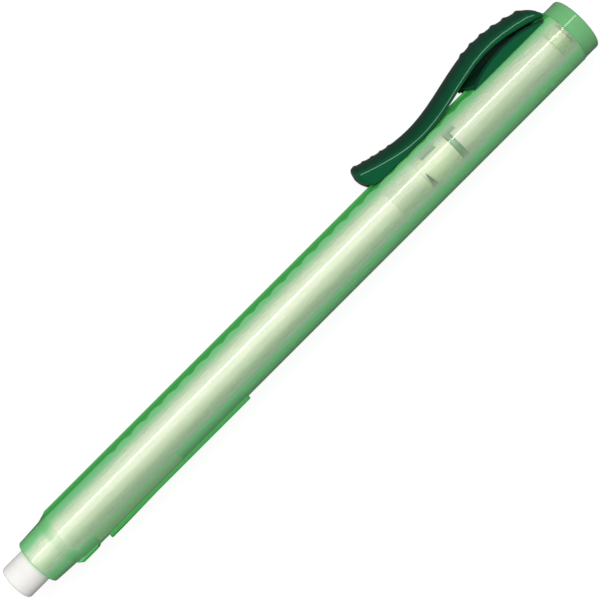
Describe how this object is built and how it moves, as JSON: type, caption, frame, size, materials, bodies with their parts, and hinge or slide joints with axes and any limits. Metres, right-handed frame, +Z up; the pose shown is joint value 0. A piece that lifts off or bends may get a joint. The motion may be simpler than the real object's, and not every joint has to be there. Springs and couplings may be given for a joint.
{
  "type": "pencil eraser stick",
  "caption": "Pocket eraser holder: translucent tube with a slotted side, a ribbed thumb slider with clip that pushes a round white eraser stick out of the nose, and a plugged tail.",
  "frame": {"origin": "centre of the tail face, on the barrel's axis", "axes": "+X along the barrel's axis from the tail towards the eraser's working end; the clip and the slot are on the -Y side and the grip rib on the +Y side, so that the part lies on its side as in the picture, with +Z towards the camera; +Z up"},
  "size_m": [0.1264, 0.0155, 0.01],
  "materials": {
    "barrel_plastic": "clear light green moulding, glossy",
    "plug_plastic": "clear light green moulding, glossy, thicker and so darker",
    "eraser_vinyl": "white vinyl, matte",
    "holder_plastic": "milky natural moulding, satin",
    "slider_plastic": "opaque dark green, glossy"
  },
  "bodies": {
    "barrel": {"barrel": "barrel_plastic", "tail_plug": "plug_plastic"},
    "carriage": {"eraser_holder": "holder_plastic"},
    "slider": {"thumb_slider": "slider_plastic"},
    "clip": {"clip_arm": "slider_plastic"},
    "eraser": {"eraser": "eraser_vinyl"}
  },
  "joints": [
    {"name": "slider_travel", "type": "slide", "parent": "barrel", "child": "carriage", "axis": [1, 0, 0], "range_m": [0, 0.06201]},
    {"name": "thumb_press", "type": "slide", "parent": "carriage", "child": "slider", "axis": [0, 1, 0], "range_m": [0, 0.00028], "stiffness_N_per_m": 2000, "springref_m": -0.0003},
    {"name": "clip_flex", "type": "hinge", "parent": "slider", "child": "clip", "pos_m": [0.0213, -0.00713, 0], "axis": [0, 0, -1], "range_deg": [0, 6], "stiffness_Nm_per_rad": 0.5, "springref_deg": -1.72},
    {"name": "eraser_pull", "type": "slide", "parent": "carriage", "child": "eraser", "axis": [1, 0, 0], "range_m": [0, 0.088]}
  ]
}
